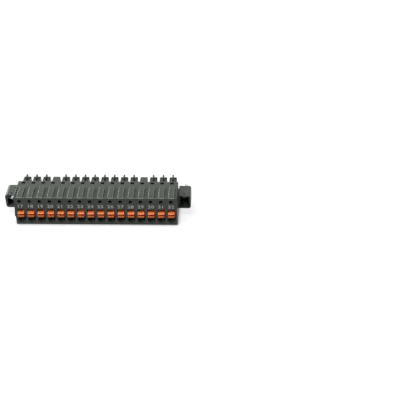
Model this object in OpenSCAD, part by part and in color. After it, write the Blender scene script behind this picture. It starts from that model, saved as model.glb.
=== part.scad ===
// Pluggable terminal block: a row of push-in poles with release buttons, a
// mating finger for each pole, and a screw flange at each end.
// Millimetres. X runs along the row, Y from the wire side to the mating side
// and Z up. The block stands on its flat underside.

/* [Poles] */
// Number of poles
poles = 16; // [4:1:16]
// Number of the first pole
first_number = 17; // [1:1:60]
// Distance from one pole to the next
pitch = 3.5; // [3.5:0.01:3.81]

/* [Housing] */
// Height of the housing's flat top face
body_h = 11.4; // [11.2:0.1:12.4]
// Depth of the housing, from its front face to its rear wall
body_d = 10.1; // [9.9:0.1:11]
// Extra thickness of the walls past the first and the last pole
end_wall = 0.35; // [0.25:0.05:0.8]
// Thickness of the front wall that holds the buttons and wire guides
front_wall = 2.6; // [2.4:0.1:3]
// Thickness of the rear wall between the chambers and the fingers
rear_wall = 0.8; // [0.6:0.1:1.2]
// Thickness of the floor under the chambers
floor_t = 0.8; // [0.7:0.05:0.85]
// Rounding of the top front edge
brow_r = 0.35; // [0.2:0.05:0.45]
// Chamfer of the upright front corners beside the lettering
corner_cut = 0.5; // [0.3:0.05:0.6]
// Chamfer of the upright front corners beside the buttons
low_corner_cut = 0.2; // [0.1:0.05:0.25]
// Rounding of the top edges over the two ends
end_edge_r = 0.3; // [0.15:0.05:0.35]
// Chamfer of the bottom front edge
sole_cut = 0.2; // [0.1:0.05:0.3]
// How far the small wedge on the left end stands out
wedge_out = 0.28; // [0.2:0.02:0.4]
// Height of that wedge
wedge_h = 2.8; // [2.4:0.1:3]
// Length of that wedge
wedge_l = 2; // [1.5:0.1:3]

/* [Top face] */
// Width of the raised rib over each pole
rib_w = 2; // [1.8:0.05:2.2]
// Height of the raised ribs
rib_h = 0.3; // [0.2:0.05:0.4]
// Where the ribs end, behind the front face
rib_end = 6.75; // [6:0.05:7.2]
// Width of the plain rim in front of the ribs
rib_start = 0.4; // [0.35:0.05:0.8]
// Depth of the channels between the ribs
channel_depth = 0.3; // [0.15:0.05:0.4]
// Distance from the end of the channels to the end of the ribs
channel_back = 0.4; // [0.1:0.05:0.5]
// Width of the plain rims along the two ends
end_rim = 0.4; // [0.35:0.05:0.5]
// Width of the fine ridge along the middle of each channel
ridge_w = 0.25; // [0.15:0.05:0.4]
// Height of the fine ridge
ridge_h = 0.1; // [0.05:0.05:0.15]
// Width of the latch windows
window_w = 1.25; // [1:0.05:1.4]
// Length of the latch windows
window_d = 1.05; // [0.9:0.05:1.1]
// Wall left behind the latch windows
window_back = 0.5; // [0.4:0.05:0.55]

/* [Test holes] */
// Height of the test holes' axis
test_z = 9.9; // [9.7:0.05:10.1]
// Diameter of the test holes
test_d = 1.2; // [1:0.05:1.3]

/* [Wire entries] */
// Height of the wire entries' axis
wire_z = 2.3; // [2.3:0.02:2.4]
// Diameter of the round guide for the bare wire
wire_d = 1.9; // [1.6:0.05:1.9]
// Diameter of the funnel's mouth
funnel_d = 2.85; // [2.5:0.05:2.95]
// Depth of the funnel
funnel_depth = 1.3; // [1:0.1:1.5]

/* [Buttons] */
// Width of a button
button_w = 2.4; // [2.2:0.05:2.45]
// Running gap round a button
button_gap = 0.08; // [0.05:0.01:0.1]
// Height of the underside of the button openings
button_z = 3.8; // [3.75:0.01:3.9]
// Height of the button openings
button_opening_h = 2.8; // [2.7:0.01:2.85]
// How far the buttons stand out of the front face
button_out = 0.85; // [0.7:0.05:1]
// How far a button is pressed to open its clamp
button_travel = 1.2; // [1:0.05:1.25]
// How far the button's shoulder lies behind the front face
shoulder_y = 0.45; // [0.3:0.05:0.6]
// Height of the button's nose at its front edge, above its underside
nose_h = 1.4; // [1.35:0.05:1.5]
// Rise of the nose from its front edge to the shoulder
nose_rise = 0.32; // [0.2:0.02:0.4]
// Width of the nose at the shoulder
nose_back_w = 1.95; // [1.8:0.05:2.1]
// Height of the screwdriver slot
slot_h = 0.54; // [0.44:0.02:0.6]
// Depth of the screwdriver slot
slot_d = 0.9; // [0.6:0.05:1]
// Thickness of the lip under the screwdriver slot
lip_h = 0.65; // [0.55:0.05:0.7]
// Width of the shallow recess in the top of the nose
scoop_w = 1.4; // [1.2:0.05:1.5]
// Depth of that recess
scoop_d = 0.12; // [0.06:0.02:0.16]
// Height of the catch that keeps the button in
catch_h = 0.35; // [0.25:0.05:0.4]

/* [Clamps] */
// Thickness of the clamp springs
spring_t = 0.3; // [0.2:0.02:0.32]
// Width of the clamp springs
spring_w = 1.9; // [1.6:0.05:2]
// Outer radius of the clamp springs' bend
spring_r = 1.15; // [1:0.05:1.2]
// Free gap between a button and its clamp spring
spring_gap = 0.3; // [0.25:0.05:0.4]
// Angle of the clamping leg to the wire
spring_angle = 55; // [50:1:60]
// Free gap between a clamping leg and the current bar
leg_gap = 0.05; // [0.03:0.01:0.1]
// Width of the contact's latch in its window
latch_w = 0.25; // [0.2:0.05:0.5]
// How far the latch ends below the top face
latch_down = 0.7; // [0.5:0.05:0.9]
// Height of the pin fork
fork_h = 1.4; // [1.2:0.05:1.6]
// Thickness of the contact's current bar
bar_t = 0.45; // [0.35:0.05:0.5]
// Thickness of the contact's upright plate
plate_t = 0.4; // [0.3:0.05:0.45]
// Width of the contact's current bar
bar_w = 2; // [1.8:0.05:2.1]

/* [Mating fingers] */
// Length of the mating fingers
finger_l = 6.2; // [6:0.1:7.5]
// Width of a mating finger at the housing
finger_w = 2.8; // [2.6:0.05:3]
// Width of a mating finger at its tip
finger_tip_w = 2.55; // [2.4:0.05:2.6]
// Height of the fingers' underside
finger_z = 1; // [0.8:0.1:1.4]
// Height of the fingers' top
finger_top = 9.1; // [8.9:0.1:9.4]
// Height of the pin entries' axis
pin_z = 4.7; // [4.5:0.1:4.9]
// Width of the square pin entries
pin_w = 1.1; // [1:0.05:1.2]
// Thickness of the fingers' end wall
tip_wall = 1; // [0.8:0.1:1.2]

/* [Coding tabs] */
// Poles whose coding tab is cut off, counted from 0
cut_tabs = [3, 12];
// Thickness of a coding tab
tab_w = 0.5; // [0.4:0.05:0.7]
// Height of a coding tab over its finger
tab_h = 1.25; // [1:0.05:1.4]
// Length of a coding tab
tab_l = 2.15; // [1.8:0.05:2.4]
// Distance from the fingers' tip to the coding tabs
tab_back = 0.3; // [0.1:0.05:0.4]
// Width of the coding pockets, one on each side of a tab
seat_w = 0.45; // [0.35:0.05:0.5]
// Length of the coding pockets
seat_l = 0.75; // [0.6:0.05:0.8]
// Distance from the fingers' tip to the coding pockets
seat_back = 0.45; // [0.35:0.05:0.5]
// Depth of the coding pockets
seat_d = 1; // [0.6:0.1:1.2]
// Wall between a coding pocket and the side of its finger's tip
seat_wall = 0.14; // [0.1:0.01:0.2]
// Width of the short slot in front of each coding pocket
notch_w = 0.2; // [0.15:0.05:0.25]
// Length of that slot
notch_l = 0.5; // [0.4:0.05:0.6]
// Distance from a coding pocket to that slot
notch_gap = 0.45; // [0.35:0.05:0.5]

/* [Flanges] */
// Thickness of a flange between the housing's end and the pocket
pocket_wall = 0.65; // [0.65:0.01:0.8]
// How far the flanges' front lies behind the housing's front face
flange_y = 6.05; // [5.8:0.05:6.2]
// Depth of the flanges
flange_d = 6.15; // [6:0.05:6.4]
// Height of the flanges' underside
flange_z = 2.9; // [2.8:0.05:3]
// Height of a flange
flange_h = 5.4; // [5.3:0.05:5.6]
// Rounding of the flanges' outer corners
flange_r = 0.9; // [0.6:0.1:1]
// Gap between the housing's end and the flange's rear part
flange_gap = 0.25; // [0.15:0.05:0.4]
// Depth of the foot that joins a flange to the housing
foot_d = 4.5; // [4.45:0.05:4.8]
// Thickness of a flange's outer wall
flange_wall = 0.7; // [0.6:0.05:0.9]
// Width of the pocket for the screw head
pocket_w = 3.1; // [3:0.02:3.2]
// Thickness of the flange under the pocket
pocket_base = 0.75; // [0.65:0.05:0.8]
// Thickness of the flange over the pocket
pocket_roof = 0.45; // [0.35:0.05:0.6]
// Thickness of the flange's end wall that the screw runs through
flange_back = 1.7; // [1.7:0.05:1.9]
// Diameter of the small hole in the top of a flange
sight_d = 0.65; // [0.4:0.05:0.8]
// Distance from a flange's front to that hole
sight_y = 1.2; // [1:0.05:1.4]
// Width of the housing's rail that a flange hooks on
rail_w = 1.8; // [1.6:0.1:2]
// Width of the rail's neck
neck_w = 1; // [0.8:0.1:1.2]
// How far the rail stands out of the housing's end
rail_l = 0.45; // [0.4:0.01:0.46]
// Gap between the rail and the flange
rail_gap = 0.03; // [0.02:0.01:0.05]

/* [Screws] */
// Diameter of the screw thread
screw_d = 2; // [1.8:0.05:2.2]
// Length of the screws under the head
screw_l = 5.4; // [5:0.1:5.6]
// Length of the thread, from the screw's tip
thread_l = 1.7; // [1.3:0.05:1.8]
// Diameter of the plain shank that lets the screw slide in its flange
shank_d = 1.6; // [1.4:0.05:1.7]
// Diameter of the screw heads
head_d = 2.88; // [2.7:0.02:2.9]
// Height of the screw heads
head_h = 1.3; // [1.2:0.05:1.4]
// Radius of the domed front of the screw heads
dome_r = 1.8; // [1.7:0.05:2.2]
// Width of the slot in the screw heads
head_slot_w = 0.5; // [0.4:0.05:0.6]
// Depth of the slot in the screw heads
head_slot_d = 0.7; // [0.5:0.05:0.8]
// Running gap round the screws
screw_gap = 0.06; // [0.04:0.01:0.08]
// How far the left screw's head lies behind its flange's front
left_screw_in = 1.4; // [1.2:0.1:2.4]

/* [Hidden] */
RIGHT = 1;
LEFT = -1;
$fn = 48;
eps = 0.01;

housing_colour = "#4a4e4a";
button_colour = "#e8804e";
contact_colour = "#c9a46a";
spring_colour = "#b9bcc0";
screw_colour = "#d4d6d8";

body_w = poles * pitch + 2 * end_wall;
side_x = body_w / 2;
deck = body_h;

// A pole's chamber: its wide front for the button and its narrow rear for the clamp
chamber_w = button_w + 2 * button_gap;
chamber_back = body_d - rear_wall;
clamp_room = 0.05;
clamp_w = max(spring_w, bar_w) + 2 * clamp_room;
button_top = button_z + button_opening_h;
chamber_top = button_top + catch_h + 2 * button_gap;

// Where the front corners' chamfer changes, just over the button openings
corner_step = 0.3;
brow_z = button_top + corner_step;

// Button: its running faces, edges, catch and stop
button_floor = button_z + button_gap;
stem_top = button_top - button_gap;
lip_soft = 0.05;
nose_soft = 0.1;
plan_soft = 0.15;
scoop_front = 0.35;
catch_y = front_wall + 0.1;
catch_l = 0.65;
stem_tail = 0.15;
stem_end = catch_y + catch_l + stem_tail;
stop_gap = 0.05;
stop_y = stem_end + button_travel + stop_gap;

// Clamp spring and contact
spring_room = 0.1;
spring_y = stem_end + spring_gap + spring_r;
spring_top = chamber_top - spring_room;
spring_z = spring_top - spring_r;
bar_top = floor_t + bar_t;
bar_front = front_wall + 0.3;
plate_front = chamber_back - plate_t;
latch_t = 0.25;
window_front = body_d - window_back - window_d;

// Mating fingers: end, hollow for the fork, and lead of the pin entries
finger_end = body_d + finger_l;
tip_cut = 0.25;
cavity_w = 1.7;
cavity_z = 3;
cavity_top = chamber_top - 0.4;
pin_lead = 0.4;
seat_x = finger_tip_w / 2 - seat_wall - seat_w / 2;
seat_end = finger_end - seat_back;
notch_end = seat_end - seat_l - notch_gap;

// Pin fork: half its root, the pinch where it grips the pin, and its mouth
fork_root = 0.5;
fork_root_t = 0.28;
fork_pinch = 0.36;
fork_mouth = 0.52;
fork_t = 0.24;
fork_t_mouth = 0.22;
fork_flare = 1.2;
fork_room = 0.4;

// Flanges, their pockets and their rails
flange_inner = side_x + flange_gap;
flange_outer = side_x + pocket_wall + pocket_w + flange_wall;
flange_end = flange_y + flange_d;
pocket_x = side_x + pocket_wall + pocket_w / 2;
pocket_floor = flange_z + pocket_base;
pocket_h = flange_h - pocket_base - pocket_roof;
pocket_end = flange_end - flange_back;
screw_z = pocket_floor + pocket_h / 2;
rail_inset = 0.25;
rail_y = (flange_y + body_d) / 2;
rail_h = flange_h - 2 * rail_inset;
rail_z = flange_z + rail_inset;
tip_lead = 0.25;

// Middle of the whole block from front to back, which is its origin
mid_y = (finger_end - button_out) / 2;

last = poles - 1;
button_names = [for (k = [0 : last]) str("button_", first_number + k)];
spring_names = [for (k = [0 : last]) str("spring_", first_number + k)];
contact_names = [for (k = [0 : last]) str("contact_", first_number + k)];

// Middle of a pole: its wire entry, button, clamp, window, rib and finger
function pole_x(k) = (k - last / 2) * pitch;

// Whether a pole still has its coding tab
function has_tab(k) = len(search(k, cut_tabs)) == 0;

// The block's own frame: origin under its middle
module placed() {
    translate([0, -mid_y, 0]) children();
}

// A box from one corner to the other
module box(low, high) {
    translate(low) cube(high - low);
}

// A side profile, drawn as (y, z), swept along X and centred on x
module swept_x(x, width) {
    translate([x - width / 2, 0, 0])
        rotate([90, 0, 90])
            linear_extrude(width) children();
}

// A round bar along Y
module bar_y(x, z, y0, y1, d0, d1) {
    translate([x, y0, z])
        rotate([-90, 0, 0]) cylinder(h = y1 - y0, d1 = d0, d2 = d1);
}

// Half of the rib's section, from its middle to one rounded edge
module rib_half() {
    edge = min(rib_h, rib_w / 4);
    translate([0, -eps]) square([rib_w / 2 - edge, rib_h + eps]);
    translate([rib_w / 2 - edge, 0])
        intersection() {
            circle(r = edge);
            translate([-eps, -eps]) square(edge + 2 * eps);
        }
}

// Raised rib with rounded edges and a round rear end
module rib(x) {
    round_y = rib_end - rib_w / 2;
    translate([x, round_y, deck - eps]) rotate_extrude() rib_half();
    translate([x, round_y, deck - eps])
        rotate([90, 0, 0])
            linear_extrude(round_y - rib_start) {
                rib_half();
                mirror([1, 0]) rib_half();
            }
}

// Shallow channel between two ribs, with a fine ridge along its middle
module rib_channel(x) {
    wide = pitch - rib_w;
    floor_z = deck - channel_depth;
    difference() {
        box([x - wide / 2, rib_start, floor_z], [x + wide / 2, rib_end - channel_back, deck + 1]);
        box([x - ridge_w / 2, 0, floor_z - 1], [x + ridge_w / 2, body_d, floor_z + ridge_h]);
    }
}

// Narrower channel between an outermost rib and the rim along the end
module end_channel(side) {
    mirror([side == LEFT ? 1 : 0, 0, 0])
        box([pole_x(last) + rib_w / 2, rib_start, deck - channel_depth],
            [side_x - end_rim, rib_end - channel_back, deck + 1]);
}

// Outline of a mating finger from above
module finger_plan() {
    polygon([
        [-finger_w / 2, -eps], [finger_w / 2, -eps],
        [finger_tip_w / 2, finger_l - tip_cut], [finger_tip_w / 2 - tip_cut, finger_l],
        [tip_cut - finger_tip_w / 2, finger_l], [-finger_tip_w / 2, finger_l - tip_cut]
    ]);
}

// Mating finger of one pole, solid
module finger(k) {
    translate([pole_x(k), body_d, finger_z])
        linear_extrude(finger_top - finger_z) finger_plan();
}

// Coding tab on top of a finger
module coding_tab(k) {
    tab_end = finger_end - tab_back;
    x = pole_x(k);
    box([x - tab_w / 2, tab_end - tab_l, finger_top - eps],
        [x + tab_w / 2, tab_end, finger_top + tab_h]);
}

// Coding pockets beside a tab, each with a short slot in front of it
module coding_seats(k) {
    low = finger_top - seat_d;
    high = finger_top + 1;
    for (s = [-1, 1]) {
        x = pole_x(k) + s * seat_x;
        notch_x = x + s * (seat_w - notch_w) / 2;
        box([x - seat_w / 2, seat_end - seat_l, low], [x + seat_w / 2, seat_end, high]);
        box([notch_x - notch_w / 2, notch_end - notch_l, low], [notch_x + notch_w / 2, notch_end, high]);
    }
}

// Hollow of a finger for the contact's fork, and the pin entry in its end
module finger_hollow(k) {
    x = pole_x(k);
    box([x - cavity_w / 2, chamber_back - eps, cavity_z],
        [x + cavity_w / 2, finger_end - tip_wall, cavity_top]);
    box([x - pin_w / 2, finger_end - tip_wall - eps, pin_z - pin_w / 2],
        [x + pin_w / 2, finger_end + eps, pin_z + pin_w / 2]);
    bar_y(x, pin_z, finger_end - pin_lead, finger_end + eps, pin_w, pin_w + 2 * pin_lead);
    if (has_tab(k)) coding_seats(k);
}

// Everything that is open in one pole of the housing
module pole_hollow(k) {
    x = pole_x(k);
    box([x - chamber_w / 2, front_wall, floor_t], [x + chamber_w / 2, stop_y, chamber_top]);
    box([x - clamp_w / 2, front_wall, floor_t], [x + clamp_w / 2, chamber_back, chamber_top]);
    box([x - chamber_w / 2, -eps, button_z],
        [x + chamber_w / 2, front_wall + eps, button_top]);
    wire_funnel(x);
    bar_y(x, wire_z, -eps, front_wall + eps, wire_d, wire_d);
    test_hole(x);
    box([x - window_w / 2, window_front, chamber_top - eps],
        [x + window_w / 2, body_d - window_back, deck + 1]);
    finger_hollow(k);
}

// Mouth of a wire entry: half round below, open to the button above
module wire_funnel(x) {
    bar_y(x, wire_z, -eps, funnel_depth, funnel_d, wire_d);
    translate([x, 0, wire_z])
        linear_extrude(button_z + eps - wire_z)
            polygon([
                [-funnel_d / 2, -eps], [funnel_d / 2, -eps],
                [wire_d / 2, funnel_depth], [-wire_d / 2, funnel_depth]
            ]);
}

// Test hole: round above and flat below, running back to the latch window
module test_hole(x) {
    bar_y(x, test_z, -eps, window_front + eps, test_d, test_d);
    box([x - test_d / 2, -eps, test_z - test_d / 2],
        [x + test_d / 2, window_front + eps, test_z]);
}

// Upright chamfer along a front corner, between two heights
module corner_chamfer(x, cut, z0, z1) {
    translate([x, 0, z0])
        linear_extrude(z1 - z0)
            polygon([[-cut, -eps], [cut, -eps], [cut, cut], [0, cut], [-cut, 0]]);
}

// Rounding taken off the top front edge
module brow_cut() {
    translate([0, brow_r, deck - brow_r])
        difference() {
            box([-side_x - 1, -brow_r - 1, 0], [side_x + 1, 0, brow_r + 1]);
            rotate([0, 90, 0]) cylinder(h = 2 * body_w, r = brow_r, center = true);
        }
}

// Rounding taken off a top edge over one end of the housing
module end_edge_cut(side) {
    mirror([side == LEFT ? 1 : 0, 0, 0])
        translate([side_x - end_edge_r, 0, deck - end_edge_r])
            difference() {
                box([0, -1, 0], [end_edge_r + 1, body_d + 1, end_edge_r + 1]);
                rotate([-90, 0, 0]) cylinder(h = 4 * body_d, r = end_edge_r, center = true);
            }
}

// Small wedge on the left end beside the buttons, at its thickest low down
module side_wedge() {
    low = button_z - wedge_out;
    translate([-side_x, low_corner_cut + wedge_l, 0])
        rotate([90, 0, 0])
            linear_extrude(wedge_l)
                polygon([
                    [eps, low - wedge_out], [-wedge_out, low],
                    [-wedge_out, low + wedge_out], [eps, low + wedge_h]
                ]);
}

// Chamfer taken off the bottom front edge
module sole_chamfer() {
    swept_x(0, 2 * side_x + 1)
        polygon([[-sole_cut, -sole_cut], [2 * sole_cut, -sole_cut], [-sole_cut, 2 * sole_cut]]);
}

// T-shaped rail on the housing's end, from height z0 up, wider all round by gap
module rail(side, gap, z0) {
    x0 = side_x;
    top = rail_z + rail_h + gap;
    mirror([side == LEFT ? 1 : 0, 0, 0]) {
        box([x0 - 0.1, rail_y - neck_w / 2 - gap, z0], [x0 + rail_l, rail_y + neck_w / 2 + gap, top]);
        box([x0 + rail_l / 2 - gap, rail_y - rail_w / 2 - gap, z0],
            [x0 + rail_l + gap, rail_y + rail_w / 2 + gap, top]);
    }
}

module housing() {
    color(housing_colour) placed() difference() {
        union() {
            difference() {
                box([-side_x, 0, 0], [side_x, body_d, deck]);
                brow_cut();
                end_edge_cut(LEFT);
                end_edge_cut(RIGHT);
                sole_chamfer();
                for (x = [-side_x, side_x]) {
                    corner_chamfer(x, corner_cut, brow_z, deck + 1);
                    corner_chamfer(x, low_corner_cut, -1, brow_z + eps);
                }
                for (k = [1 : last]) rib_channel(pole_x(k) - pitch / 2);
                end_channel(LEFT);
                end_channel(RIGHT);
            }
            for (k = [0 : last]) {
                rib(pole_x(k));
                finger(k);
                if (has_tab(k)) coding_tab(k);
            }
            rail(LEFT, 0, rail_z);
            rail(RIGHT, 0, rail_z);
            side_wedge();
        }
        for (k = [0 : last]) pole_hollow(k);
    }
}

// Side profile of a button, as (y, z)
module button_profile() {
    nose_front = button_floor + nose_h;
    polygon([
        [stem_end, button_floor],
        [lip_soft - button_out, button_floor],
        [-button_out, button_floor + lip_soft],
        [-button_out, nose_front - nose_soft],
        [2 * nose_soft - button_out, nose_front],
        [shoulder_y, nose_front + nose_rise],
        [shoulder_y, stem_top],
        [stem_end, stem_top]
    ]);
}

// Outline of a button from above
module button_plan() {
    full = button_w / 2;
    nose = nose_back_w / 2;
    side_y = 2 * plan_soft - button_out;
    polygon([
        [-full, side_y], [plan_soft - full, -button_out], [full - plan_soft, -button_out],
        [full, side_y], [nose, shoulder_y], [full, shoulder_y],
        [full, stem_end], [-full, stem_end], [-full, shoulder_y], [-nose, shoulder_y]
    ]);
}

// Shallow recess in the sloping top of a button's nose
module nose_scoop(x) {
    front_y = scoop_front - button_out;
    back_z = button_floor + nose_h + nose_rise - scoop_d;
    slope = nose_rise / (shoulder_y + button_out - 2 * nose_soft);
    front_z = back_z - slope * (shoulder_y - front_y);
    swept_x(x, scoop_w)
        polygon([
            [front_y, front_z], [shoulder_y, back_z], [shoulder_y, back_z + 1], [front_y, back_z + 1]
        ]);
}

// Release button of one pole
module button(k) {
    x = pole_x(k);
    slot_z = button_floor + lip_h;
    color(button_colour) placed() {
        difference() {
            intersection() {
                swept_x(x, button_w) button_profile();
                translate([x, 0, 0]) linear_extrude(deck) button_plan();
            }
            box([x - button_w, -button_out - 1, slot_z],
                [x + button_w, slot_d - button_out, slot_z + slot_h]);
            nose_scoop(x);
        }
        swept_x(x, button_w / 2)
            polygon([
                [catch_y, stem_top - eps], [catch_y, stem_top + catch_h],
                [catch_y + catch_l / 3, stem_top + catch_h], [catch_y + catch_l, stem_top - eps]
            ]);
    }
}

// Clamp spring of one pole: fixed leg, bend and clamping leg
module spring(k) {
    drop = spring_z - spring_r * cos(spring_angle) - bar_top - leg_gap;
    leg_l = drop / sin(spring_angle);
    color(spring_colour) placed() swept_x(pole_x(k), spring_w) {
        translate([spring_y, spring_z + spring_r - spring_t])
            square([plate_front - spring_y, spring_t]);
        translate([spring_y, spring_z]) {
            intersection() {
                difference() {
                    circle(r = spring_r);
                    circle(r = spring_r - spring_t);
                }
                polygon([
                    [0, 0], [0, 3], [-3, 3], [-3, -3 * cos(spring_angle) / sin(spring_angle)]
                ]);
            }
            rotate(-spring_angle)
                translate([-eps, -spring_r]) square([leg_l, spring_t]);
        }
    }
}

// Contact of one pole: current bar, upright plate, latch and pin fork
module contact(k) {
    x = pole_x(k);
    color(contact_colour) placed() {
        box([x - bar_w / 2, bar_front, floor_t], [x + bar_w / 2, chamber_back, bar_top]);
        box([x - bar_w / 2, plate_front, floor_t], [x + bar_w / 2, chamber_back, spring_top]);
        box([x - latch_w / 2, chamber_back - latch_t, spring_top - eps],
            [x + latch_w / 2, chamber_back, deck - latch_down]);
        for (s = [0, 1])
            translate([x, chamber_back - eps, pin_z - fork_h / 2])
                mirror([s, 0, 0])
                    linear_extrude(fork_h) fork_blade();
    }
}

// Plan of one blade of the pin fork: it nears the pin and flares at its end
module fork_blade() {
    reach = finger_end - tip_wall - fork_room - chamber_back;
    pinch_y = reach - fork_flare;
    polygon([
        [fork_root, 0], [fork_pinch, pinch_y], [fork_mouth, reach],
        [fork_mouth + fork_t_mouth, reach], [fork_pinch + fork_t, pinch_y], [fork_root + fork_root_t, 0]
    ]);
}

// Outline of a flange from the front, as (x, z), on the right-hand side
module flange_front() {
    r = flange_r;
    low = flange_z;
    high = flange_z + flange_h;
    translate([flange_inner, low]) square([flange_outer - flange_inner - r, flange_h]);
    translate([flange_inner, low + r]) square([flange_outer - flange_inner, flange_h - 2 * r]);
    translate([flange_outer - r, low + r]) circle(r = r);
    translate([flange_outer - r, high - r]) circle(r = r);
}

// Screw flange, hooked on the rail at the housing's end
module flange(side) {
    color(housing_colour) placed() mirror([side == LEFT ? 1 : 0, 0, 0]) difference() {
        union() {
            translate([0, flange_end, 0])
                rotate([90, 0, 0]) linear_extrude(flange_d) flange_front();
            box([side_x, flange_y, flange_z],
                [flange_inner + eps, flange_y + foot_d, flange_z + flange_h]);
        }
        box([pocket_x - pocket_w / 2, flange_y - 1, pocket_floor],
            [pocket_x + pocket_w / 2, pocket_end, pocket_floor + pocket_h]);
        bar_y(pocket_x, screw_z, flange_y, flange_end + 1,
            screw_d + 2 * screw_gap, screw_d + 2 * screw_gap);
        translate([pocket_x, flange_y + sight_y, screw_z]) cylinder(h = flange_h, d = sight_d);
        rail(RIGHT, rail_gap, flange_z - 1);
    }
}

// Captive screw along Y with a domed, slotted head whose front is at y
module screw(side, y) {
    thread_end = head_h + screw_l;
    color(screw_colour) placed() translate([side * pocket_x, y, screw_z]) difference() {
        union() {
            intersection() {
                bar_y(0, 0, 0, head_h, head_d, head_d);
                translate([0, dome_r, 0]) sphere(r = dome_r);
            }
            bar_y(0, 0, head_h - eps, thread_end - thread_l + eps, shank_d, shank_d);
            bar_y(0, 0, thread_end - thread_l, thread_end - tip_lead, screw_d, screw_d);
            bar_y(0, 0, thread_end - tip_lead - eps, thread_end, screw_d, screw_d - 2 * tip_lead);
        }
        box([-head_d, -1, -head_slot_w / 2], [head_d, head_slot_d, head_slot_w / 2]);
    }
}

housing();
flange(LEFT);  // flange_left
flange(RIGHT);  // flange_right
screw(LEFT, flange_y + left_screw_in);  // screw_left
screw(RIGHT, pocket_end - head_h - screw_gap);  // screw_right
for (k = [0 : last]) {
    button(k);
    spring(k);
    contact(k);
}
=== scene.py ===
"""Pluggable terminal block: sixteen push-in poles with orange release buttons, and a screw
flange at each end."""

import math

import bpy
from mathutils import Matrix, Vector


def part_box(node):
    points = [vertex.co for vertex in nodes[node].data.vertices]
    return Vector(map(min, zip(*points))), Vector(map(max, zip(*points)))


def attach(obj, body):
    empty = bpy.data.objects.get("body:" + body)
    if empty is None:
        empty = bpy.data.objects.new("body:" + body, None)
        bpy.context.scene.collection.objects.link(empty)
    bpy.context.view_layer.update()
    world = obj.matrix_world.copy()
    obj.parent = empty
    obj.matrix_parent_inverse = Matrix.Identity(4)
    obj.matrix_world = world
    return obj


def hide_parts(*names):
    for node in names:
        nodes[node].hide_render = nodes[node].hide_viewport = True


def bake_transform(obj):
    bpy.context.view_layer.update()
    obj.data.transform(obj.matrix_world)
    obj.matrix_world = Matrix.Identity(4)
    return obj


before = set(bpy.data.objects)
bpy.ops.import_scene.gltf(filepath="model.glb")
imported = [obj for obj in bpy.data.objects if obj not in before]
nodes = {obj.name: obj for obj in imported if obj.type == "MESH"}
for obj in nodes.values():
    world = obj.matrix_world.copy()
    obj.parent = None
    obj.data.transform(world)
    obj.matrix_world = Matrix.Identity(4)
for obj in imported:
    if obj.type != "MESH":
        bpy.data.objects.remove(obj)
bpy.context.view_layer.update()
scene = bpy.context.scene
scene.view_settings.view_transform = "Standard"

# ---------------------------------------------------------------- The view
# The block is seen from in front of its wire side and well above it, with a
# long lens, so that its poles stay almost parallel. It stands left of the middle.
MM = 0.001
SENSOR = 36.0
VIEW_DISTANCE = 310.0
VIEW_ELEVATION = math.radians(36.0)
VIEW_YAW = math.radians(2.2)
VIEW_ROLL = -0.0166
LENS = 80.93
AIM_HEIGHT = 9.9
AIM_RIGHT = 36.27
AIM_UP = 0.02

front_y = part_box("housing")[0].y / MM
look = Vector((
    -math.sin(VIEW_YAW) * math.cos(VIEW_ELEVATION),
    math.cos(VIEW_YAW) * math.cos(VIEW_ELEVATION),
    -math.sin(VIEW_ELEVATION),
))
right = Vector((math.cos(VIEW_YAW), math.sin(VIEW_YAW), 0))
up = right.cross(look)
place = Vector((0, front_y, AIM_HEIGHT)) + up * AIM_UP + right * AIM_RIGHT - look * VIEW_DISTANCE
rolled_right = right * math.cos(VIEW_ROLL) + up * math.sin(VIEW_ROLL)
rolled_up = up * math.cos(VIEW_ROLL) - right * math.sin(VIEW_ROLL)

camera = bpy.data.objects.new("camera", bpy.data.cameras.new("camera"))
scene.collection.objects.link(camera)
camera.matrix_world = Matrix((
    (rolled_right.x, rolled_up.x, -look.x, place.x * MM),
    (rolled_right.y, rolled_up.y, -look.y, place.y * MM),
    (rolled_right.z, rolled_up.z, -look.z, place.z * MM),
    (0, 0, 0, 1),
))
camera.data.sensor_width = SENSOR
camera.data.lens = LENS
camera.data.clip_start = 0.01
scene.camera = camera

# ----------------------------------------------------------- Housing, flanges
# One moulding of dark grey glass-filled polyamide, with the two flanges
# moulded apart in the same material and pushed onto its end rails.
HOUSING_GREYS = ("#3e433d", "#3a3f39")
CHANNEL_GREYS = ("#42463f", "#3e423c")
# Painted shade: a near-black grey for recesses and the sole's front strip.
PAINTED_SHADE_GREY = "#101210"
# The grain of the mould is finer than this in fact: it is drawn as coarse as it needs to show.
GRAIN_MM = 0.12
GRAIN_DEPTH = 0.02
FLOW_MM = 3.0
RIB_HEIGHT = 0.3
RIB_SLOPE = 2.1
CHANNEL_DEPTH = 0.3
CHANNEL_END = 6.35
RUN_OUT = 0.9
END_WALL = 0.2
RIB_CLEAR = 8.0
RIB_STUB = 0.005
TOOL_LAP = 0.1
WINDOW_FRONT = 8.55
WINDOW_BACK = 9.6
WINDOW_FLOOR = 9.3
FINGER_ROOT = 10.3
FINGER_HOLLOW = 1.9
FINGER_FLOOR = 7.0
FINGER_TOP = 9.1
SOLE_HEIGHT = 0.3
POCKET_WALL = 0.4
POCKET_MOUTH = 1.0


def linear(hex_colour):
    """An sRGB hex colour as linear RGBA."""
    parts = [int(hex_colour[i : i + 2], 16) / 255 for i in (1, 3, 5)]
    return (*[c / 12.92 if c <= 0.04045 else ((c + 0.055) / 1.055) ** 2.4 for c in parts], 1)


def add(material, kind, settings=None, links=None):
    """Adds a node. settings are its properties and socket values, links its sockets' sources."""
    tree = material.node_tree
    node = tree.nodes.new(kind)
    for name, value in (settings or {}).items():
        if name in node.inputs:
            node.inputs[name].default_value = value
        else:
            setattr(node, name, value)
    for name, source in (links or {}).items():
        tree.links.new(source, node.inputs[name])
    return node


def new_material(name):
    """An empty material and its output node."""
    material = bpy.data.materials.new(name)
    material.use_nodes = True
    material.node_tree.nodes.clear()
    return material, add(material, "ShaderNodeOutputMaterial")


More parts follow.
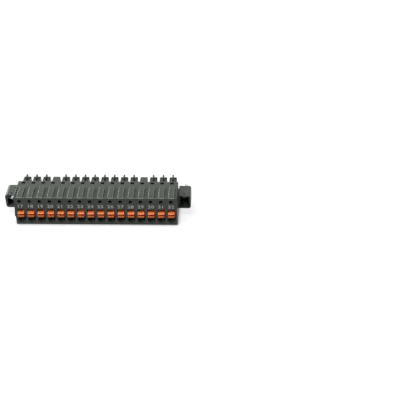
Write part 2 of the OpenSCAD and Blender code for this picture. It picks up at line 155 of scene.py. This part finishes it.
def moulded_plastic(name, colours, roughness, specular, grain_mm, bump):
    """Moulded plastic with the fine grain of an eroded mould. Two colours drift into each other
    with the flow of the melt."""
    material, output = new_material(name)
    where = add(material, "ShaderNodeTexCoord").outputs["Object"]
    grain = add(
        material, "ShaderNodeTexNoise", {"Scale": 1 / (grain_mm * MM), "Detail": 3}, {"Vector": where}
    )
    relief = add(
        material,
        "ShaderNodeBump",
        {"Strength": bump, "Distance": GRAIN_DEPTH * MM},
        {"Height": grain.outputs["Fac"]},
    )
    shader = add(
        material,
        "ShaderNodeBsdfPrincipled",
        {
            "Base Color": linear(colours[0]),
            "Roughness": roughness,
            "Specular IOR Level": specular,
            "IOR": 1.5,
        },
        {"Normal": relief.outputs["Normal"]},
    )
    if len(colours) > 1:
        flow = add(
            material, "ShaderNodeTexNoise", {"Scale": 1 / (FLOW_MM * MM), "Detail": 2}, {"Vector": where}
        )
        tint = add(material, "ShaderNodeMix", {"data_type": "RGBA"}, {"Factor": flow.outputs["Fac"]})
        tint.inputs[6].default_value = linear(colours[0])
        tint.inputs[7].default_value = linear(colours[1])
        material.node_tree.links.new(tint.outputs[2], shader.inputs["Base Color"])
    material.node_tree.links.new(shader.outputs["BSDF"], output.inputs["Surface"])
    return material


def finish_node(name, material):
    """Gives a CAD node its material."""
    node = nodes[name]
    node.data.materials.clear()
    node.data.materials.append(material)


def joined_copy(node_name, name):
    """A new object with a node's own faces, joined up."""
    bpy.ops.object.select_all(action="DESELECT")
    piece = bpy.data.objects.new(name, nodes[node_name].data.copy())
    scene.collection.objects.link(piece)
    piece.data.name = name
    piece.data.materials.clear()
    piece.select_set(True)
    bpy.context.view_layer.objects.active = piece
    bpy.ops.object.mode_set(mode="EDIT")
    bpy.ops.mesh.select_all(action="SELECT")
    bpy.ops.mesh.remove_doubles(threshold=0.001 * MM)
    bpy.ops.object.mode_set(mode="OBJECT")
    return piece


def tool_box(low, high):
    """A box between two corners in millimetres, to cut or fill with."""
    bpy.ops.object.select_all(action="DESELECT")
    middle = [(a + b) / 2 * MM for a, b in zip(low, high)]
    size = [(b - a) * MM for a, b in zip(low, high)]
    bpy.ops.mesh.primitive_cube_add(size=1, location=middle, scale=size)
    bpy.ops.object.transform_apply(location=True, rotation=True, scale=True)
    return bpy.context.object


def raise_edge(box, at_y, at_z, rise):
    """Moves the edge of a tool box at one y and z up by rise, all in millimetres."""
    bpy.ops.object.mode_set(mode="EDIT")
    bpy.ops.mesh.select_all(action="DESELECT")
    bpy.ops.object.mode_set(mode="OBJECT")
    for corner in box.data.vertices:
        at_edge = abs(corner.co.y / MM - at_y) < 0.01 and abs(corner.co.z / MM - at_z) < 0.01
        corner.select = at_edge
    bpy.ops.object.mode_set(mode="EDIT")
    bpy.ops.transform.translate(value=(0, 0, rise * MM))
    bpy.ops.object.mode_set(mode="OBJECT")


def work_with(piece, tool, operation):
    """Cuts a piece with a tool or joins the tool to it, and puts the tool away."""
    shape = piece.modifiers.new("shape", "BOOLEAN")
    shape.operation = operation
    shape.object = tool
    shape.solver = "EXACT"
    bpy.ops.object.select_all(action="DESELECT")
    piece.select_set(True)
    bpy.context.view_layer.objects.active = piece
    bpy.ops.object.modifier_apply(modifier=shape.name)
    bpy.data.objects.remove(tool)


# Glass-filled polyamide, moulded: a dull even dark grey with a faint sheen.
housing_plastic = moulded_plastic(
    "polyamide_moulded_dark_grey", HOUSING_GREYS, 0.38, 0.34, GRAIN_MM, 0.15
)
# The same polyamide off coarsely eroded steel: duller and darker.
coarse_plastic = moulded_plastic(
    "polyamide_moulded_coarse", CHANNEL_GREYS, 0.6, 0.2, 2 * GRAIN_MM, 0.4
)
# Painted shade: the same polyamide painted almost black in narrow deep recesses and on the sole's front
# strip, where shade falls.
painted_shade_plastic = moulded_plastic(
    "polyamide_painted_recess_shade", [PAINTED_SHADE_GREY], 0.7, 0.15, GRAIN_MM, 0.2
)
finish_node("flange_left", housing_plastic)

# The right flange's screw pocket leaves only thin walls round its mouth.
flange_low, flange_high = (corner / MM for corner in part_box("flange_right"))
flange = joined_copy("flange_right", "dressed_flange_right")
work_with(
    flange,
    tool_box(
        (flange_low.x + POCKET_WALL, flange_low.y - 1, flange_low.z + POCKET_WALL),
        (flange_high.x - POCKET_WALL, flange_low.y + POCKET_MOUTH, flange_high.z - POCKET_WALL),
    ),
    "DIFFERENCE",
)
flange.data.materials.append(housing_plastic)
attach(flange, "block")
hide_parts("flange_right")

# The channels run out gently at the back. The ribs are taken off here and made
# below with finer edges.
housing_low, housing_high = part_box("housing")
rib_top = housing_high.z / MM
deck = rib_top - RIB_HEIGHT
channel_floor = deck - CHANNEL_DEPTH
half = housing_high.x / MM - END_WALL
housing = joined_copy("housing", "dressed_housing")
run_out = tool_box(
    (-half, front_y + CHANNEL_END - RUN_OUT, channel_floor - TOOL_LAP),
    (half, front_y + CHANNEL_END + TOOL_LAP, deck),
)
raise_edge(run_out, front_y + CHANNEL_END - RUN_OUT, deck, -CHANNEL_DEPTH)
work_with(housing, run_out, "UNION")
ribs_off = tool_box(
    (-half - 1, front_y - 1, deck + RIB_STUB), (half + 1, front_y + RIB_CLEAR, rib_top + 1)
)
work_with(housing, ribs_off, "DIFFERENCE")
# The sole is parted off at its own height, so that its front strip can have its own material: painted
# shade.
bpy.ops.object.mode_set(mode="EDIT")
bpy.ops.mesh.select_all(action="SELECT")
bpy.ops.mesh.bisect(plane_co=(0, 0, SOLE_HEIGHT * MM), plane_no=(0, 0, 1))
bpy.ops.object.mode_set(mode="OBJECT")
for material in (housing_plastic, coarse_plastic, painted_shade_plastic):
    housing.data.materials.append(material)
pole_boxes = [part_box(name) for name in nodes if name.startswith("button_")]
pole_x = [(low.x + high.x) / 2 / MM for low, high in pole_boxes]
for face in housing.data.polygons:
    x = min(abs(face.center.x / MM - middle) for middle in pole_x)
    y = face.center.y / MM - front_y
    z = face.center.z / MM
    in_channel = channel_floor - 0.01 < z < channel_floor + 0.29 and 0.3 < y < CHANNEL_END + 0.01
    in_window = WINDOW_FRONT - 0.01 < y < WINDOW_BACK + 0.01 and WINDOW_FLOOR < z < deck - 0.01
    in_finger = y > FINGER_ROOT and x < FINGER_HOLLOW / 2 and FINGER_FLOOR < z < FINGER_TOP - 0.02
    on_sole = z < SOLE_HEIGHT and face.normal.y < -0.5
    # Painted shade: windows, the sole's front strip and the finger hollows take the near-black plastic.
    if in_window or on_sole or (in_finger and face.normal.z < 0.9):
        face.material_index = 2
    elif in_channel and face.normal.z > 0.5:
        face.material_index = 1
    else:
        face.material_index = 0
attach(housing, "block")
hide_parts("housing")

# ------------------------------------------------------------ Ribs on the top
# A flat rib over each pole, moulded with the housing. It slopes down to the
# front edge, ends round at the back, and its edges are painted paler as a highlight.
RIB_WIDTH = 1.86
RIB_SHIFT = 0.1
RIB_START = 0.08
RIB_END = 6.75
RIB_EDGE = 0.26
RIB_SINK = 0.02
SLOPE_DROP = 0.12
SLOPE_RISE = 0.14
# Painted highlight: a pale grey for the rib edges.
EDGE_HIGHLIGHT_GREY = "#80857e"
# Painted highlight: the housing's polyamide, painted paler and made smoother on the rib edges, where
# light catches them.
painted_highlight_plastic = moulded_plastic("polyamide_painted_edge_highlight", [EDGE_HIGHLIGHT_GREY], 0.3, 0.4, GRAIN_MM, 0.1)
pole_numbers = sorted(int(n.split("_")[1]) for n in nodes if n.startswith("button_"))


def smooth_rounds(piece):
    """Shades rounds smooth and keeps flat faces flat."""
    bpy.ops.object.select_all(action="DESELECT")
    piece.select_set(True)
    bpy.context.view_layer.objects.active = piece
    bpy.ops.object.shade_smooth_by_angle(angle=math.radians(35))
    flat = piece.modifiers.new("flat", "WEIGHTED_NORMAL")
    flat.keep_sharp = True
    bpy.ops.object.modifier_apply(modifier=flat.name)


rib = tool_box(
    (-RIB_WIDTH / 2, front_y + RIB_START, channel_floor + RIB_SINK),
    (RIB_WIDTH / 2, front_y + RIB_END - RIB_WIDTH / 2, rib_top),
)
bpy.ops.object.select_all(action="DESELECT")
bpy.ops.mesh.primitive_cylinder_add(
    vertices=32,
    radius=RIB_WIDTH / 2 * MM,
    depth=(RIB_HEIGHT + CHANNEL_DEPTH - RIB_SINK) * MM,
    location=(
        0,
        (front_y + RIB_END - RIB_WIDTH / 2) * MM,
        (rib_top + channel_floor + RIB_SINK) / 2 * MM,
    ),
)
bpy.ops.object.transform_apply(location=True, rotation=True, scale=True)
work_with(rib, bpy.context.object, "UNION")
slope_foot = deck - SLOPE_DROP
slope = tool_box(
    (-RIB_WIDTH, front_y - 0.5, slope_foot), (RIB_WIDTH, front_y + RIB_SLOPE, rib_top + 1)
)
raise_edge(slope, front_y + RIB_SLOPE, slope_foot, RIB_HEIGHT + SLOPE_RISE)
work_with(rib, slope, "DIFFERENCE")
bpy.ops.object.mode_set(mode="EDIT")
bpy.ops.mesh.select_all(action="SELECT")
bpy.ops.mesh.remove_doubles(threshold=0.02 * MM)
bpy.ops.mesh.dissolve_limited(angle_limit=math.radians(2))
bpy.ops.object.mode_set(mode="OBJECT")
rib.data.materials.append(housing_plastic)
rib.data.materials.append(painted_highlight_plastic)
# The bevel faces take the painted highlight plastic.
edges = rib.modifiers.new("edges", "BEVEL")
edges.width = RIB_EDGE * MM
edges.segments = 3
edges.limit_method = "ANGLE"
edges.angle_limit = math.radians(50)
edges.material = 1
bpy.ops.object.modifier_apply(modifier=edges.name)
smooth_rounds(rib)
for number in pole_numbers:
    bpy.ops.object.select_all(action="DESELECT")
    other = bpy.data.objects.new(f"rib_{number}", rib.data.copy())
    scene.collection.objects.link(other)
    other.data.name = other.name
    low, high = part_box(f"button_{number}")
    other.location.x = (low.x + high.x) / 2 + RIB_SHIFT * MM
    other.select_set(True)
    bpy.context.view_layer.objects.active = other
    bpy.ops.object.transform_apply(location=True, rotation=True, scale=True)
    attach(other, "block")
bpy.data.objects.remove(rib)

# ------------------------------------------------------------------ Buttons
# One release button over each wire entry, moulded in orange polyamide. A
# screwdriver fits the slot across its front and presses it in.
ORANGES = ("#dc7838", "#d27033")
# Painted shade and bounce light: a redder, darker orange for the slot.
PAINTED_SLOT_RED = "#de4e25"
SHOULDER_BEHIND_TIP = 1.3
SHOULDER_SET_BACK = 0.7
SHOULDER_FOOT = 1.6
SLOT_LOW = 0.56
SLOT_HIGH = 1.2
SLOT_DEPTH = 1.1
SLOT_FALL = 0.35
LIP_DROP = 0.18
LIP_EDGE = 0.1
LIP_SET_BACK = 0.02
LIP_BACK = 0.45
LIP_ROOT = 0.2
SLOT_MOUTH = 0.3
BUTTON_EDGE = 0.05

# Unfilled polyamide, moulded: an even warm orange, a little glossier than the housing.
button_plastic = moulded_plastic(
    "polyamide_moulded_orange", ORANGES, 0.36, 0.4, GRAIN_MM, 0.12
)
# Painted shade and bounce light: the same orange, painted redder and darker in the narrow slot, where
# light goes from orange to orange.
painted_slot_plastic = moulded_plastic(
    "polyamide_orange_painted_slot", [PAINTED_SLOT_RED], 0.4, 0.3, GRAIN_MM, 0.12
)

# The first button: shoulder well inside the opening, a deep slot, a lip that
# hangs a little lower, and edges just broken.
first = f"button_{pole_numbers[0]}"
low, high = (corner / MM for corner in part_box(first))
button = joined_copy(first, f"dressed_{first}")
bpy.ops.object.mode_set(mode="EDIT")
bpy.ops.mesh.select_all(action="SELECT")
bpy.ops.mesh.dissolve_limited(angle_limit=math.radians(1))
bpy.ops.object.mode_set(mode="OBJECT")
shoulder = tool_box(
    (low.x - 1, low.y + SHOULDER_BEHIND_TIP, low.z + SHOULDER_FOOT),
    (high.x + 1, low.y + SHOULDER_BEHIND_TIP + SHOULDER_SET_BACK, high.z + 1),
)
work_with(button, shoulder, "DIFFERENCE")
slot = tool_box(
    (low.x - 1, low.y - 1, low.z + SLOT_LOW), (high.x + 1, low.y + SLOT_DEPTH, low.z + SLOT_HIGH)
)
raise_edge(slot, low.y - 1, low.z + SLOT_LOW, -SLOT_FALL)
work_with(button, slot, "DIFFERENCE")
bpy.ops.object.mode_set(mode="EDIT")
bpy.ops.mesh.select_all(action="SELECT")
bpy.ops.mesh.bisect(plane_co=(0, (low.y + SLOT_MOUTH) * MM, 0), plane_no=(0, 1, 0))
bpy.ops.object.mode_set(mode="OBJECT")
lip = tool_box(
    (low.x + LIP_EDGE, low.y + LIP_SET_BACK, low.z - LIP_DROP),
    (high.x - LIP_EDGE, low.y + LIP_BACK, low.z + LIP_ROOT),
)
work_with(button, lip, "UNION")
edges = button.modifiers.new("edges", "BEVEL")
edges.width = BUTTON_EDGE * MM
edges.segments = 2
edges.limit_method = "ANGLE"
edges.angle_limit = math.radians(35)
bpy.ops.object.modifier_apply(modifier=edges.name)
smooth_rounds(button)
button.data.materials.append(button_plastic)
button.data.materials.append(painted_slot_plastic)
# Faces inside the slot take the painted shade and bounce light orange.
for face in button.data.polygons:
    y = face.center.y / MM - low.y
    z = face.center.z / MM - low.z
    in_slot = SLOT_MOUTH < y < SLOT_DEPTH + 0.01 and SLOT_LOW - SLOT_FALL < z < SLOT_HIGH + 0.01
    face.material_index = int(in_slot and abs(face.normal.x) < 0.5)
for number in pole_numbers:
    name = f"button_{number}"
    if name != first:
        bpy.ops.object.select_all(action="DESELECT")
        other = bpy.data.objects.new(f"dressed_{name}", button.data.copy())
        scene.collection.objects.link(other)
        other.data.name = other.name
        other.location.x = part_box(name)[0].x - low.x * MM
        other.select_set(True)
        bpy.context.view_layer.objects.active = other
        bpy.ops.object.transform_apply(location=True, rotation=True, scale=True)
    else:
        other = button
    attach(other, name)
    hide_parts(name)

# ------------------------------------------------------------------- Metals
# Screws of zinc-plated steel, clamp springs of bent stainless spring strip,
# and contacts stamped from tin-plated copper strip.
STREAK_DEPTH = 0.01


def plated_metal(name, colour, roughness, streak_mm):
    """Bare or plated metal with fine streaks across it."""
    material, output = new_material(name)
    where = add(material, "ShaderNodeTexCoord").outputs["Object"]
    streaks = add(
        material, "ShaderNodeTexNoise", {"Scale": 1 / (streak_mm * MM), "Detail": 2}, {"Vector": where}
    )
    relief = add(
        material,
        "ShaderNodeBump",
        {"Strength": 0.15, "Distance": STREAK_DEPTH * MM},
        {"Height": streaks.outputs["Fac"]},
    )
    shader = add(
        material,
        "ShaderNodeBsdfPrincipled",
        {"Base Color": linear(colour), "Metallic": 1.0, "Roughness": roughness},
        {"Normal": relief.outputs["Normal"]},
    )
    material.node_tree.links.new(shader.outputs["BSDF"], output.inputs["Surface"])
    return material


# Zinc-plated steel, machined: bright silver with blurred reflections.
screw_steel = plated_metal("steel_zinc_plated", "#d6d8da", 0.16, 0.15)
for side in ("left", "right"):
    finish_node(f"screw_{side}", screw_steel)
# Stainless spring strip, cold rolled: a darker silver.
spring_steel = plated_metal("spring_steel_rolled", "#b4b7bb", 0.3, 0.1)
# Tin-plated copper, stamped: a soft grey-white.
contact_metal = plated_metal("copper_tin_plated", "#cfcdc6", 0.35, 0.1)
for number in pole_numbers:
    finish_node(f"contact_{number}", contact_metal)
    # Each spring is drawn as a joined copy of its own faces, in spring steel.
    spring = joined_copy(f"spring_{number}", f"bending_spring_{number}")
    spring.data.materials.append(spring_steel)
    low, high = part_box(f"spring_{number}")
    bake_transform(spring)
    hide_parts(f"spring_{number}")

# ------------------------------------------------------------- Pole numbers
# Each pole's number, printed in light grey on the housing's front face
# between the test hole and the button.
NUMBER_HEIGHT = 1.25
NUMBER_MIDDLE_Z = 7.85
NUMBER_SPACING = 1.08
NUMBER_WIDEN = 1.18
NUMBER_BOLD = 0.035
INK_THICKNESS = 0.01
INK_GREYS = ("#c4c8c4", "#babeba")
GRAIN_INK = 0.1
CAPITAL_SHARE = 0.7
# Printing ink: a flat pale grey.
number_ink = moulded_plastic("printing_ink_pale_grey", INK_GREYS, 0.6, 0.3, GRAIN_INK, 0.05)
for number in pole_numbers:
    button_low, button_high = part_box(f"button_{number}")
    bpy.ops.object.select_all(action="DESELECT")
    bpy.ops.object.text_add(rotation=(math.radians(90), 0, 0))
    digits = bpy.context.object
    digits.name = f"number_{number}"
    digits.data.body = str(number)
    digits.data.align_x = "CENTER"
    digits.data.size = NUMBER_HEIGHT / CAPITAL_SHARE * MM
    digits.data.space_character = NUMBER_SPACING
    digits.data.extrude = INK_THICKNESS * MM
    digits.data.offset = NUMBER_BOLD * MM
    digits.scale.x = NUMBER_WIDEN
    digits.data.resolution_u = 3
    digits.location = (
        (button_low.x + button_high.x) / 2,
        front_y * MM,
        (NUMBER_MIDDLE_Z - NUMBER_HEIGHT / 2) * MM,
    )
    bpy.ops.object.convert(target="MESH")
    bpy.ops.object.transform_apply(location=True, rotation=True, scale=True)
    digits.data.name = digits.name
    digits.data.materials.append(number_ink)
    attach(digits, "block")

# ------------------------------------------------------------ Floor and light
# A plain white floor in white surroundings. One soft lamp hangs high in front,
# a second stands to the front left, and a third low behind on the left draws
# out the ribs.
FLOOR_SIZE = 3.0
FLOOR_GLOW = 0.8
# Painted shade: how far out the floor's glow is darkened near the block, as a contact shadow.
PAINTED_CONTACT_SHADE_MM = 1.2
SURROUND_LIGHT = 0.2
LAMP_DISTANCE = 1000.0


def seen_directly(material):
    """One where the camera, a reflection or a clear material looks, and nothing for other light."""
    paths = add(material, "ShaderNodeLightPath").outputs
    seen = add(material, "ShaderNodeMath", {"operation": "MAXIMUM"})
    material.node_tree.links.new(paths["Is Camera Ray"], seen.inputs[0])
    material.node_tree.links.new(paths["Is Glossy Ray"], seen.inputs[1])
    either = add(material, "ShaderNodeMath", {"operation": "MAXIMUM"})
    material.node_tree.links.new(seen.outputs[0], either.inputs[0])
    material.node_tree.links.new(paths["Is Transmission Ray"], either.inputs[1])
    return either.outputs[0]


bpy.ops.object.select_all(action="DESELECT")
bpy.ops.mesh.primitive_plane_add(size=FLOOR_SIZE, location=(0, 0, 0))
floor = bpy.context.object
floor.name = "floor"
# Matt white card that takes the block's shadow. Its glow is darkened by ambient occlusion where they
# touch: a painted contact shadow.
card, output = new_material("card_white")
lit = add(card, "ShaderNodeBsdfDiffuse", {"Color": linear("#ffffff")})
contact = add(card, "ShaderNodeAmbientOcclusion", {"Distance": PAINTED_CONTACT_SHADE_MM * MM})
glow = add(
    card,
    "ShaderNodeEmission",
    None,
    {"Color": contact.outputs["Color"], "Strength": seen_directly(card)},
)
glow_share = add(card, "ShaderNodeMixShader", {"Fac": FLOOR_GLOW})
card.node_tree.links.new(lit.outputs[0], glow_share.inputs[1])
card.node_tree.links.new(glow.outputs[0], glow_share.inputs[2])
card.node_tree.links.new(glow_share.outputs[0], output.inputs["Surface"])
floor.data.materials.append(card)

world = bpy.data.worlds.new("surround")
scene.world = world
world.use_nodes = True
world.node_tree.nodes.clear()
world_output = add(world, "ShaderNodeOutputWorld")
strength = add(
    world,
    "ShaderNodeMapRange",
    {"To Min": SURROUND_LIGHT, "To Max": 1.0},
    {"Value": seen_directly(world)},
)
background = add(
    world, "ShaderNodeBackground", {"Color": (1, 1, 1, 1)}, {"Strength": strength.outputs[0]}
)
world.node_tree.links.new(background.outputs[0], world_output.inputs["Surface"])


def soft_lamp(name, direction, distance, size, level):
    """A square lamp aimed at the block. A level of 1 shows a colour facing it as it is written."""
    spot = Vector(direction).normalized() * distance * MM
    bpy.ops.object.light_add(type="AREA", location=spot)
    lamp = bpy.context.object
    lamp.name = name
    lamp.data.size = size * MM
    lamp.data.energy = level * math.pi**2 * (distance * MM) ** 2
    lamp.rotation_euler = (-spot).to_track_quat("-Z", "Y").to_euler()


soft_lamp("lamp_high", (-0.05, -0.10, 0.99), LAMP_DISTANCE, 400, 0.72)
soft_lamp("lamp_front_left", (-0.55, -0.42, 0.72), LAMP_DISTANCE, 300, 0.40)
soft_lamp("lamp_back_left", (-0.6, 0.7, 0.38), LAMP_DISTANCE, 300, 0.45)
